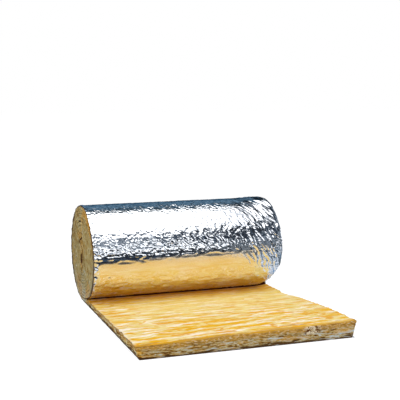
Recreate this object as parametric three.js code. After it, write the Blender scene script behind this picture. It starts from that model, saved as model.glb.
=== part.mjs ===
// Foil-faced glass-wool insulation roll, lying on its side and partly unrolled.
//
// Millimetres, +Z up. X runs along the roll's axis. The loose tail runs out towards -Y along the
// floor with its facing underneath, and the roll sits on the tail's +Y end. The origin is on the
// floor, at the middle of the object's bounding box.
//
// The mat is one long strip of wool with one sheet of facing bonded to its outer side. Both are
// extrusions of one winding curve: the facing's outer surface, which is flat under the tail,
// goes up the back, over the top, down the front, in at the nip, and on round to the eye.

import * as THREE from 'three';

// ---------------------------------------------------------------- driving dimensions

const MAT_WIDTH = 1200;          // across the mat, which is the length of the roll
const PACKED_WOOL = 20;          // thickness of the wool while it is squeezed in the roll
const RECOVERED_WOOL = 75;       // thickness of the wool at the tail's free end
const FACING_THICKNESS = 0.8;    // reinforced aluminium foil with its kraft and adhesive
const BOND_CLEARANCE = 0.3;      // left between the facing and the wool on both of its sides

const TURN_COUNT = 13;           // turns wound on top of the mat that lies under the roll
const EYE_RADIUS = 6;            // from the winding's centre to the inside of the last turn
const TAIL_LENGTH = 1212;        // from under the roll's centre to the free end
const NIP_ANGLE = 19;            // degrees of the roll's front that still press on the tail

const ROLL_SAG = 0.0306;         // how much wider and lower than round the roll has settled
const EYE_FLATTENING = 0.55;     // how much narrower and taller than round the eye is
const EYE_FLATTENING_REACH = 70; // radius over which that shape dies away
const EYE_DROP = 45;             // how far the eye sits below the middle of the roll
const EYE_SET_BACK = 36;         // and how far behind it, away from the tail

const EDGE_FLARE = 22;           // how far the recovered wool swells out past the facing
const ARRIS_RADIUS = 10;         // softness of the top edge of the cut end

// ---------------------------------------------------------------- resolution

const CHORD_ERROR = 1.2;         // largest gap between a curve and its facets
const MAX_STEP_ANGLE = 0.5;      // radians, for the tightest turns
const TAIL_STEPS = 16;           // facets along the top of the tail
const ARRIS_STEPS = 3;           // facets round the top edge of the cut end

// ---------------------------------------------------------------- derived sizes

const FULL_TURN = 2 * Math.PI;
const TURN_PITCH = PACKED_WOOL + FACING_THICKNESS + 2 * BOND_CLEARANCE;
const ROLL_RADIUS = EYE_RADIUS + (TURN_COUNT + 1) * TURN_PITCH;
const ROLL_CENTRE_HEIGHT = ROLL_RADIUS * (1 - ROLL_SAG);
const WOOL_UNDERSIDE = FACING_THICKNESS + BOND_CLEARANCE;
const TAIL_HEIGHT = WOOL_UNDERSIDE + RECOVERED_WOOL;

const LAST_ANGLE = TURN_COUNT * FULL_TURN;        // where the facing and the mat end
const EYE_ANGLE = LAST_ANGLE + FULL_TURN;         // where the inside of the last turn ends
const NIP = FULL_TURN - THREE.MathUtils.degToRad(NIP_ANGLE);

const smoothstep = (t) => THREE.MathUtils.smoothstep(t, 0, 1);

// ---------------------------------------------------------------- the winding curve

/** Radius of the facing's outer surface at a winding angle, before the roll settles. */
function windingRadius(angle) {
  return ROLL_RADIUS - TURN_PITCH * angle / FULL_TURN;
}

/**
 * A point of the facing's outer surface in the (y, z) plane. The angle starts under the roll's
 * centre and grows up the back, over the top and down the front. The settled roll is a little
 * oval, and the eye is a narrow upright slit that has sunk below the middle.
 */
function windingPoint(angle) {
  const radius = windingRadius(angle);
  const nearEye = EYE_FLATTENING * Math.exp(-((radius / EYE_FLATTENING_REACH) ** 2));
  const inwardShare = 1 - radius / ROLL_RADIUS;
  const across = radius * Math.sin(angle) * (1 + ROLL_SAG) * (1 - nearEye);
  const down = radius * Math.cos(angle) * (1 - ROLL_SAG) * (1 + nearEye);
  return new THREE.Vector2(
    across + EYE_SET_BACK * inwardShare,
    ROLL_CENTRE_HEIGHT - down - EYE_DROP * inwardShare,
  );
}

/** The winding curve moved towards the eye by a distance, square to the curve. */
function offsetPoint(angle, inward) {
  const step = 1e-3;
  const tangent = windingPoint(angle + step).sub(windingPoint(angle - step)).normalize();
  const towardsEye = new THREE.Vector2(-tangent.y, tangent.x);
  return windingPoint(angle).addScaledVector(towardsEye, inward);
}

/** Winding angles from one to another, close enough together for the chord error. */
function anglesBetween(from, to) {
  const angles = [from];
  let angle = from;
  while (angle < to) {
    const widest = Math.sqrt(8 * CHORD_ERROR / Math.max(windingRadius(angle), EYE_RADIUS));
    const step = Math.min(widest, MAX_STEP_ANGLE);
    angle = to - angle < 1.5 * step ? to : angle + step;
    angles.push(angle);
  }
  return angles;
}

const anglesToNip = anglesBetween(0, NIP);
const anglesToEnd = anglesBetween(NIP, LAST_ANGLE);
const anglesToEye = anglesBetween(LAST_ANGLE, EYE_ANGLE);
const facedAngles = [...anglesToNip, ...anglesToEnd.slice(1)];
const innerAngles = [...anglesToEnd, ...anglesToEye.slice(1)];

// ---------------------------------------------------------------- outlines in the (y, z) plane

/** How far along the free tail a point is: 0 at the nip, 1 at the cut end. */
function tailShare(y) {
  const nip = windingPoint(NIP);
  return THREE.MathUtils.clamp((nip.x - y) / (nip.x + TAIL_LENGTH), 0, 1);
}

/** Top of the tail from the cut end back to the nip, swelling as the wool is let go. */
function tailTop() {
  const nip = offsetPoint(NIP, -BOND_CLEARANCE);
  const arris = Array.from({ length: ARRIS_STEPS + 1 }, (_, i) => {
    const turn = (Math.PI / 2) * (1 - i / ARRIS_STEPS);
    return new THREE.Vector2(
      -TAIL_LENGTH + ARRIS_RADIUS * (1 - Math.sin(turn)),
      TAIL_HEIGHT - ARRIS_RADIUS * (1 - Math.cos(turn)),
    );
  });
  const start = arris.at(-1).x;
  const top = Array.from({ length: TAIL_STEPS - 1 }, (_, i) => {
    const y = THREE.MathUtils.lerp(start, nip.x, (i + 1) / TAIL_STEPS);
    return new THREE.Vector2(y, THREE.MathUtils.lerp(nip.y, TAIL_HEIGHT, smoothstep(tailShare(y))));
  });
  return [...arris, ...top];
}

/** Section of the facing: one thin band from under the tail's free end to the eye. */
function facingSection() {
  const outer = facedAngles.map((angle) => offsetPoint(angle, 0));
  const inner = facedAngles.map((angle) => offsetPoint(angle, FACING_THICKNESS));
  return [
    new THREE.Vector2(-TAIL_LENGTH, 0),
    ...outer,
    ...inner.reverse(),
    new THREE.Vector2(-TAIL_LENGTH, FACING_THICKNESS),
  ];
}

/** Section of the wool: its outer side follows the facing, its inner side the next turn's. */
function woolSection() {
  const outer = facedAngles.map((angle) => offsetPoint(angle, WOOL_UNDERSIDE));
  const inner = innerAngles.map((angle) => offsetPoint(angle, -BOND_CLEARANCE));
  return [
    new THREE.Vector2(-TAIL_LENGTH, WOOL_UNDERSIDE),
    ...outer,
    ...inner.reverse(),
    ...tailTop().reverse(),
  ];
}

// ---------------------------------------------------------------- solids

/** Extrudes a (y, z) section along X over the mat's width, centred on the YZ plane. */
function extrudeAcrossMat(section) {
  const geometry = new THREE.ExtrudeGeometry(new THREE.Shape(section), {
    depth: MAT_WIDTH,
    bevelEnabled: false,
  });
  const sectionToWorld = new THREE.Matrix4().makeBasis(
    new THREE.Vector3(0, 1, 0),
    new THREE.Vector3(0, 0, 1),
    new THREE.Vector3(1, 0, 0),
  );
  return geometry.translate(0, 0, -MAT_WIDTH / 2).applyMatrix4(sectionToWorld);
}

/** Lets the tail's side edges lean outwards, most at the top of the cut end. */
function flareTailEdges(geometry) {
  const position = geometry.attributes.position;
  for (let i = 0; i < position.count; i += 1) {
    const height = (position.getZ(i) - WOOL_UNDERSIDE) / RECOVERED_WOOL;
    const swell = EDGE_FLARE * height * smoothstep(tailShare(position.getY(i)));
    position.setX(i, position.getX(i) + Math.sign(position.getX(i)) * swell);
  }
  return geometry;
}

const aluminiumFoil = new THREE.MeshStandardMaterial({
  name: 'aluminium_foil',
  color: 0xd3d7dc,
  roughness: 0.16,
  metalness: 1,
  side: THREE.DoubleSide,
});
const glassWool = new THREE.MeshStandardMaterial({
  name: 'glass_wool',
  color: 0xe3b75c,
  roughness: 0.95,
  metalness: 0,
});

const woolMat = new THREE.Mesh(flareTailEdges(extrudeAcrossMat(woolSection())), glassWool);
woolMat.name = 'wool_mat';

const foilFacing = new THREE.Mesh(extrudeAcrossMat(facingSection()), aluminiumFoil);
foilFacing.name = 'foil_facing';

const insulationRoll = new THREE.Group();
insulationRoll.name = 'insulation_roll';
insulationRoll.add(woolMat, foilFacing);

// The roll's back is the farthest point from the tail, so the middle lies between the two.
const backReach = Math.max(...facedAngles.map((angle) => windingPoint(angle).x));
insulationRoll.position.y = (TAIL_LENGTH - backReach) / 2;

export default insulationRoll;
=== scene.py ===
"""Foil-faced glass-wool roll on its side, its outer end unrolled along the floor.

The wool and its facing are dressed meshes that stand for the two CAD nodes. Both follow the same
winding curve, which is worked out from the mat's real sizes. Metres, +X along the roll's axis,
+Y from the tail's cut end towards the roll, +Z up.
"""

import logging
import math
from dataclasses import dataclass, field
from enum import Enum, IntEnum
from typing import Callable, Sequence

import bmesh
import bpy
import numpy as np
from mathutils import Matrix, Vector


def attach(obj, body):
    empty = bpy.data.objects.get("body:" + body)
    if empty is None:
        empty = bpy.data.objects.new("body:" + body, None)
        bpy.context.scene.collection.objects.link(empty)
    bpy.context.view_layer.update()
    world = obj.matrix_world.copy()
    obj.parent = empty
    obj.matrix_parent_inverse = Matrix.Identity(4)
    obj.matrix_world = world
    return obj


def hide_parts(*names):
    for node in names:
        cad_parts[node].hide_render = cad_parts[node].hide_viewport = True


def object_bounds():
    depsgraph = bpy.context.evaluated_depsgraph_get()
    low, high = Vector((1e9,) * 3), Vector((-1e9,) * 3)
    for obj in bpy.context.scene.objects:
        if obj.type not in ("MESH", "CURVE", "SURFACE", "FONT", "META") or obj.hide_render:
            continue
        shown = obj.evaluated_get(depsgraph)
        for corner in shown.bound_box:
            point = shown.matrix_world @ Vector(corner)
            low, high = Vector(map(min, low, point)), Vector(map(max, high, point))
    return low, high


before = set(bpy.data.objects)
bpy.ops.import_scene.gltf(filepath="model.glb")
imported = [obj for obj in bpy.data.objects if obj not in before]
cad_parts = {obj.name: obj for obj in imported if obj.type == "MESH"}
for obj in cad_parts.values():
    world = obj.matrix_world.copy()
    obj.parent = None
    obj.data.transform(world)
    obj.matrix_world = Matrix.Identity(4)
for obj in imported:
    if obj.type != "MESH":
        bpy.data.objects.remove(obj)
CAD_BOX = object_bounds()

log = logging.getLogger("insulation_roll")

FULL_TURN = 2.0 * math.pi
Array = np.ndarray
Colour = tuple[float, float, float]
Span = tuple[float, float]


# ------------------------------------------------------------------------------ number helpers


def smoothstep(value: Array | float, low: float = 0.0, high: float = 1.0) -> Array:
    """Ease from 0 at low to 1 at high, where high may lie below low for a falling ramp."""
    t = np.clip((np.asarray(value, float) - low) / (high - low), 0.0, 1.0)
    return t * t * (3.0 - 2.0 * t)


def turned(angle: Array, low: float, high: float) -> Array:
    """Ease from 0 at one winding angle to 1 at another, both in degrees."""
    return smoothstep(angle, math.radians(low), math.radians(high))


def between(angle: Array, rise: Span, fall: Span) -> Array:
    """Ease from 0 to 1 over a first span of degrees, and back to 0 over a later one."""
    return turned(angle, *rise) * turned(angle, fall[1], fall[0])


@dataclass(frozen=True)
class Noise:
    """Smooth gradient noise over a plane, the same on every run."""

    seed: int

    COLUMN_KEY, ROW_KEY, SEED_KEY, MIXING_KEY = 374761393, 668265263, 974711, 1274126177
    WORD = 0xFFFFFFFF
    DIRECTIONS = 65536
    OCTAVE_STEP = 17

    def _gradient(self, column: Array, row: Array) -> tuple[Array, Array]:
        """Find a unit gradient for each lattice corner.

        Args:
            column: The corners' whole numbers along u.
            row: Their whole numbers along v.

        Returns:
            The gradients' parts along u and along v.
        """
        mixed = column * self.COLUMN_KEY + row * self.ROW_KEY + self.seed * self.SEED_KEY
        mixed &= self.WORD
        mixed = ((mixed ^ (mixed >> 13)) * self.MIXING_KEY) & self.WORD
        angle = ((mixed ^ (mixed >> 16)) % self.DIRECTIONS) * (FULL_TURN / self.DIRECTIONS)
        return np.cos(angle), np.sin(angle)

    def at(self, u: Array, v: Array) -> Array:
        """Sample the noise.

        Args:
            u: First coordinate, in noise cells.
            v: Second coordinate, in noise cells.

        Returns:
            Values from about -1 to 1.
        """
        u, v = np.broadcast_arrays(np.asarray(u, float), np.asarray(v, float))
        column, row = np.floor(u).astype(np.int64), np.floor(v).astype(np.int64)
        du, dv = u - column, v - row
        ease_u, ease_v = (t * t * t * (t * (t * 6 - 15) + 10) for t in (du, dv))
        rows = []
        for dr in (0, 1):
            corners = []
            for dc in (0, 1):
                gu, gv = self._gradient(column + dc, row + dr)
                corners.append(gu * (du - dc) + gv * (dv - dr))
            rows.append(corners[0] + ease_u * (corners[1] - corners[0]))
        return 1.5 * (rows[0] + ease_v * (rows[1] - rows[0]))

    def ridged(self, u: Array, v: Array) -> Array:
        """Sample noise that folds into sharp ridges, from about -1 to 1."""
        return 1.0 - 2.0 * np.abs(self.at(u, v))

    def rough(self, u: Array, v: Array, octaves: int = 3) -> Array:
        """Sum octaves of noise, each half as strong and twice as fine as the last.

        Args:
            u: First coordinate, in cells of the first octave.
            v: Second coordinate.
            octaves: How many octaves are summed.

        Returns:
            Values from about -2 to 2.
        """
        total = np.zeros(np.broadcast(u, v).shape)
        for octave in range(octaves):
            finer = 2.0**octave
            total += Noise(self.seed + self.OCTAVE_STEP * octave).at(u * finer, v * finer) / finer
        return total


@dataclass(frozen=True)
class Grain:
    """One layer of relief: a noise, the size of its cells two ways, and its height.

    The sizes are in metres, or in shares of the mat's thickness across its layers.
    """

    seed: int
    cell_u: float
    cell_v: float = 1.0
    height: float = 1.0
    octaves: int = 1
    mean: float = 0.3

    def at(self, u: Array, v: Array, shift_u: Array | float = 0.0,
           shift_v: Array | float = 0.0) -> Array:
        """Return the layer's height at places, its cells shifted by numbers of cells."""
        u, v = u / self.cell_u + shift_u, v / self.cell_v + shift_v
        return self.height * Noise(self.seed).rough(u, v, self.octaves)

    def line(self, u: Array, shift: Array | float = 0.0) -> Array:
        """Return the layer's height along a line, its cells shifted by a number of cells."""
        return self.at(u, 0.0 * u, shift)

    def ridges(self, u: Array, v: Array, shift_u: Array | float = 0.0,
               shift_v: Array | float = 0.0) -> Array:
        """Return the layer as sharp ridges, as high as they stand above their mean level."""
        ridged = Noise(self.seed).ridged(u / self.cell_u + shift_u, v / self.cell_v + shift_v)
        return self.height * (ridged - self.mean)


# ------------------------------------------------------------------------------ the mat's run


@dataclass(frozen=True)
class Mat:
    """The mat's real sizes and the curve that it is wound on, in metres."""

    width: float = 1.200
    packed_wool: float = 0.020
    recovered_wool: float = 0.075
    facing: float = 0.0008
    bond: float = 0.0003
    turns: float = 13.0
    eye_radius: float = 0.006
    tail_length: float = 1.212
    nip: float = FULL_TURN - math.radians(19.0)
    roll_sag: float = 0.0306
    eye_flattening: float = 0.55
    eye_flattening_reach: float = 0.070
    eye_drop: float = 0.045
    eye_set_back: float = 0.036
    edge_flare: float = 0.022
    arris: float = 0.010

    @property
    def half_width(self) -> float:
        """Distance from the middle of the mat to its edges."""
        return self.width / 2

    @property
    def pitch(self) -> float:
        """Distance from one turn to the next."""
        return self.packed_wool + self.facing + 2.0 * self.bond

    @property
    def roll_radius(self) -> float:
        """Radius of the outermost turn, where it leaves the floor."""
        return self.eye_radius + (self.turns + 1.0) * self.pitch

    @property
    def underside(self) -> float:
        """Height of the tail's wool above the floor."""
        return self.facing + self.bond

    @property
    def cut_end(self) -> float:
        """Where the tail's free end lies along Y."""
        return float(CAD_BOX[0][1])

    @property
    def centre(self) -> float:
        """Where the winding's centre lies along Y."""
        return self.cut_end + self.tail_length

    @property
    def nip_y(self) -> float:
        """Where the facing leaves the tail's top, along Y."""
        return float(self.point(np.array(self.nip))[0])

    @property
    def free_run(self) -> float:
        """Length of the tail, from its cut end to the nip."""
        return self.nip_y - self.cut_end

    @property
    def last_angle(self) -> float:
        """Winding angle at which the mat ends, in the eye."""
        return self.turns * FULL_TURN

    def radius(self, angle: Array) -> Array:
        """Return the winding's radius before the roll settles."""
        return self.roll_radius - self.pitch * np.asarray(angle, float) / FULL_TURN

    def point(self, angle: Array) -> Array:
        """Place the facing's outer surface.

        Args:
            angle: Winding angles, from 0 under the roll, growing up its back.

        Returns:
            One (y, z) row for each angle.
        """
        radius = self.radius(angle)
        near_eye = self.eye_flattening * np.exp(-((radius / self.eye_flattening_reach) ** 2))
        inward = 1.0 - radius / self.roll_radius
        across = radius * np.sin(angle) * (1 + self.roll_sag) * (1 - near_eye)
        down = radius * np.cos(angle) * (1 - self.roll_sag) * (1 + near_eye)
        height = self.roll_radius * (1 - self.roll_sag)
        return np.stack([self.centre + across + self.eye_set_back * inward,
                         height - down - self.eye_drop * inward], axis=-1)

    def towards_eye(self, angle: Array) -> Array:
        """Find the directions square to the winding that point to the eye.

        Args:
            angle: Winding angles.

        Returns:
            One unit (y, z) row for each angle.
        """
        step = 1e-4
        tangent = self.point(angle + step) - self.point(angle - step)
        tangent /= np.linalg.norm(tangent, axis=-1, keepdims=True)
        return np.stack([-tangent[..., 1], tangent[..., 0]], axis=-1)

    def offset(self, angle: Array, inward: float) -> Array:
        """Return winding points moved towards the eye by a distance."""
        return self.point(angle) + inward * self.towards_eye(angle)

    def tail_share(self, y: Array) -> Array:
        """Return how far along the free tail a place is: 0 at the nip, 1 at the cut end."""
        return np.clip((self.nip_y - y) / self.free_run, 0.0, 1.0)

    def tail_top(self, y: Array) -> Array:
        """Find the height of the tail's top, which swells as the wool is let go.

        Args:
            y: Places along Y.

        Returns:
            The heights above the floor.
        """
        start = self.offset(np.array(self.nip), -self.bond)[1]
        full = self.underside + self.recovered_wool
        return start + (full - start) * smoothstep(self.tail_share(y))

    def angles(self, start: float, end: float, spacing: float) -> Array:
        """Space winding angles evenly along the curve.

        Args:
            start: First angle.
            end: Last angle.
            spacing: Distance between neighbours along the curve.

        Returns:
            The angles, first and last included.
        """
        least_radius, widest_step = 0.02, 0.35
        found = [start]
        while found[-1] < end:
            radius = max(float(self.radius(found[-1])), least_radius)
            found.append(found[-1] + min(spacing / radius, widest_step))
        found[-1] = end
        return np.array(found)


@dataclass(frozen=True)
class Settling:
    """How the soft roll has sagged and been pulled in at its +X end, as smooth warps of space.

    A span runs from where a pull starts to where it is whole. A turn is in radians below the
    level of the roll's centre, at its front, and a reach is in shares of the roll's radius.
    """

    mat: Mat
    droop: float = 0.0098
    droop_lean: float = -0.28
    droop_turns: tuple[Span, Span] = ((1.10, 0.78), (-1.45, -0.70))
    droop_start: float = 0.08
    droop_reach: tuple[float, Span] = (0.95, (1.12, 1.04))
    shoulder_depth: float = 0.028
    shoulder_run: float = 0.110
    shoulder_past: float = 0.02
    shoulder_turns: tuple[Span, Span] = ((-0.25, 0.9), (1.75, 1.25))
    shoulder_start: float = 0.10
    shoulder_height: Span = (0.020, 0.050)
    shoulder_power: float = 1.6
    end_round: float = 0.011
    end_reach: float = 0.026
    end_rim: Span = (0.80, 0.98)
    end_height: Span = (0.030, 0.110)
    tail_draw: float = 0.026
    draw_start: float = 0.20
    draw_front: Span = (-0.52, -0.30)
    draw_back: float = 0.25
    draw_height: Span = (0.22, 0.08)
    front_limit: float = 1.06

    def apply(self, points: Array) -> Array:
        """Warp points.

        Args:
            points: Rows of (x, y, z).

        Returns:
            The warped rows.
        """
        moved = np.array(points, float)
        x, y, z = moved[:, 0], moved[:, 1], moved[:, 2]
        dy, dz = y - self.mat.centre, z - self.mat.roll_radius
        distance = np.hypot(dy, dz)
        below_front = np.arctan2(-dz, -dy)
        uneven = 1.0 + self.droop_lean * x / self.mat.half_width
        pull = self._shoulder(x, z, distance, below_front), self._rounded_end(x, z, distance)
        behind_front = y > self.mat.centre - self.front_limit * self.mat.roll_radius
        out = uneven * self._droop(distance, below_front)
        for inward in pull:
            out = out - np.where(behind_front, inward, 0.0)
        scale = out / np.maximum(distance, 1e-6)
        moved[:, 1] += dy * scale
        moved[:, 2] += dz * scale
        moved[:, 0] -= self._drawn_in(x, y, z)
        return moved

    def _droop(self, distance: Array, below_front: Array) -> Array:
        """Find how far the roll's front bulges low down and flattens higher up.

        Args:
            distance: Distances from the roll's centre.
            below_front: Turns below the centre's level.

        Returns:
            How far each place moves away from the centre.
        """
        reach = self.mat.roll_radius
        low, high = self.droop_turns
        whole, (end, fade) = self.droop_reach
        window = smoothstep(below_front, *low) * smoothstep(below_front, *high)
        on_roll = (smoothstep(distance, self.droop_start, whole * reach)
                   * smoothstep(distance, end * reach, fade * reach))
        return self.droop * np.sin(2.0 * below_front) * window * on_roll

    def _shoulder(self, x: Array, z: Array, distance: Array, below_front: Array) -> Array:
        """Find how far the +X end's low front is pulled towards the eye.

        Args:
            x: Places along the roll.
            z: Heights.
            distance: Distances from the roll's centre.
            below_front: Turns below the centre's level.

        Returns:
            How far each place moves towards the centre.
        """
        half = self.mat.half_width
        upper, lower = self.shoulder_turns
        near_end = smoothstep(x, half - self.shoulder_run, half + self.shoulder_past)
        low_front = smoothstep(below_front, *upper) * smoothstep(below_front, *lower)
        on_roll = (smoothstep(distance, self.shoulder_start, self.mat.roll_radius)
                   * smoothstep(z, *self.shoulder_height))
        return self.shoulder_depth * near_end**self.shoulder_power * low_front * on_roll

    def _rounded_end(self, x: Array, z: Array, distance: Array) -> Array:
        """Find how far the +X end's soft rim turns in.

        Args:
            x: Places along the roll.
            z: Heights.
            distance: Distances from the roll's centre.

        Returns:
            How far each place moves towards the centre.
        """
        reach, most = self.mat.roll_radius, 1.2
        start, whole = self.end_rim
        share = np.clip((x - self.mat.half_width + self.end_reach) / self.end_reach, 0.0, most)
        rim = (smoothstep(distance, start * reach, whole * reach)
               * smoothstep(z, *self.end_height))
        return self.end_round * share**2 * rim

    def _drawn_in(self, x: Array, y: Array, z: Array) -> Array:
        """Find how far the +X edge is drawn in along the axis where the tail meets the roll.

        Args:
            x: Places along the roll.
            y: Places along Y.
            z: Heights.

        Returns:
            How far each place moves towards -X.
        """
        centre = self.mat.centre
        start, whole = self.draw_front
        drawn = smoothstep(x, self.draw_start, self.mat.half_width) * self.tail_draw
        reach = smoothstep(y, centre + start, centre + whole)
        low = smoothstep(z, *self.draw_height) * smoothstep(y, centre + self.draw_back, centre)
        return drawn * reach * low


# ------------------------------------------------------------------------------ mesh drafting


def add_object(name: str, data: bpy.types.ID) -> bpy.types.Object:
    """Add an object to the scene.

    Args:
        name: The object's name.
        data: Its mesh, lamp or camera data.

    Returns:
        The new object.
    """
    added = bpy.data.objects.new(name, data)
    bpy.context.scene.collection.objects.link(added)
    return added


def add_panel(name: str, corners: Sequence[tuple[float, float, float]]) -> bpy.types.Object:
    """Add a flat panel.

    Args:
        name: The panel's name.
        corners: Its four corners, in order round it.

    Returns:
        The new panel.
    """
    mesh = bpy.data.meshes.new(name)
    mesh.from_pydata(corners, [], [(0, 1, 2, 3)])
    return add_object(name, mesh)


@dataclass
class MeshDraft:
    """Points and faces gathered before they become one Blender mesh."""

    points: list[Array] = field(default_factory=list)
    along: list[Array] = field(default_factory=list)
    depth: list[Array] = field(default_factory=list)
    swell: list[Array] = field(default_factory=list)
    faces: list[tuple[int, ...]] = field(default_factory=list)
    slots: list[int] = field(default_factory=list)
    count: int = 0

    def add_points(self, points: Array, along: Array, depth: Array,
                   swell: Array | float = 0.0) -> Array:
        """Add points.

        Args:
            points: Rows of (x, y, z).
            along: Each point's distance along the mat.
            depth: Each point's share of the wool's thickness, 0 at the facing.
            swell: On wool, the slope of a fold, which the finish paints as highlight and shade, or
            less than 0 inside a gap, which it paints with shade. On foil, how loose the sheet is.

        Returns:
            The new points' indices.
        """
        ids = np.arange(self.count, self.count + len(points))
        self.points.append(np.asarray(points, float))
        for store, values in ((self.along, along), (self.depth, depth), (self.swell, swell)):
            store.append(np.broadcast_to(np.asarray(values, float), (len(points),)))
        self.count += len(points)
        return ids

    def add_face(self, ids: Sequence[int], slot: int) -> None:
        """Add one face."""
        self.faces.append(tuple(int(i) for i in ids))
        self.slots.append(slot)

    def add_grid(self, ids: Array, slot: int) -> None:
        """Add a quad for each cell of a rectangle of points.

        Args:
            ids: The rectangle's point indices.
            slot: Material slot of the new faces.
        """
        quads = np.stack([ids[:-1, :-1], ids[1:, :-1], ids[1:, 1:], ids[:-1, 1:]], axis=-1)
        self.faces.extend(map(tuple, quads.reshape(-1, 4).tolist()))
        self.slots.extend([slot] * (quads.size // 4))

    def zip_rows(self, first: Array, second: Array, slot: int) -> None:
        """Join two rows that run side by side but hold different numbers of points.

        Args:
            first: Point indices of one row.
            second: Point indices of the other, in the same direction.
            slot: Material slot of the new faces.
        """
        past_end = 2.0
        at_first = [*self._shares(first), past_end]
        at_second = [*self._shares(second), past_end]
        i = j = 0
        while i < len(first) - 1 or j < len(second) - 1:
            if at_first[i + 1] <= at_second[j + 1]:
                self.add_face((first[i], first[i + 1], second[j]), slot)
                i += 1
            else:
                self.add_face((first[i], second[j + 1], second[j]), slot)
                j += 1

    def _shares(self, ids: Array) -> Array:
        """Find how far along its own row each point lies.

        Args:
            ids: The row's point indices.

        Returns:
            Shares from 0 at the row's start to 1 at its end.
        """
        row = np.concatenate(self.points)[ids]
        run = np.concatenate([[0.0], np.cumsum(np.linalg.norm(np.diff(row, axis=0), axis=1))])
        return run / run[-1]

    def to_object(self, name: str, warp: Callable[[Array], Array]) -> bpy.types.Object:
        """Make the Blender object.

        Args:
            name: The piece's name.
            warp: Moves the gathered points to their settled places.

        Returns:
            The new object, linked to the scene.
        """
        mesh = bpy.data.meshes.new(name)
        mesh.from_pydata(warp(np.concatenate(self.points)).tolist(), [], self.faces)
        for label in ("along", "depth", "swell"):
            layer = mesh.attributes.new(label, "FLOAT", "POINT")
            layer.data.foreach_set("value", np.concatenate(getattr(self, label)).astype(np.float32))
        mesh.polygons.foreach_set("material_index", self.slots)
        mesh.polygons.foreach_set("use_smooth", [True] * len(self.faces))
        mesh.validate()
        mesh.update()
        return add_object(name, mesh)


# ------------------------------------------------------------------------------ materials


class Signal:
    """A value that a material's nodes work out, and that plain arithmetic works on."""

    def __init__(self, sketch: "NodeSketch", socket: bpy.types.NodeSocket) -> None:
        """Hold one output of a sketch's nodes."""
        self.sketch, self.socket = sketch, socket

    def __add__(self, other: "Signal | float") -> "Signal":
        """Return the sum."""
        return self.sketch.math("ADD", self, other)

    def __sub__(self, other: "Signal | float") -> "Signal":
        """Return the difference."""
        return self.sketch.math("SUBTRACT", self, other)

    def __rsub__(self, other: float) -> "Signal":
        """Return a number less this value."""
        return self.sketch.math("SUBTRACT", other, self)

    def __mul__(self, other: "Signal | float") -> "Signal":
        """Return the product."""
        return self.sketch.math("MULTIPLY", self, other)

    def __abs__(self) -> "Signal":
        """Return the size without the sign."""
        return self.sketch.math("ABSOLUTE", self)

    __radd__, __rmul__ = __add__, __mul__

    def at_least(self, other: "Signal | float") -> "Signal":
        """Return the larger of the two."""
        return self.sketch.math("MAXIMUM", self, other)

    def ease(self, low: float, high: float, top: float = 1.0) -> "Signal":
        """Ease from 0 to a top value, level outside the ramp.

        Args:
            low: Where the ramp starts.
            high: Where it ends; it may lie below low, for a falling ramp.
            top: The value that it ends at.

        Returns:
            The eased signal.
        """
        node = self.sketch.node("MapRange", {"interpolation_type": "SMOOTHSTEP"}, Value=self,
                                From_Min=low, From_Max=high, To_Min=0.0, To_Max=top)
        return Signal(self.sketch, node.outputs["Result"])


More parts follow.
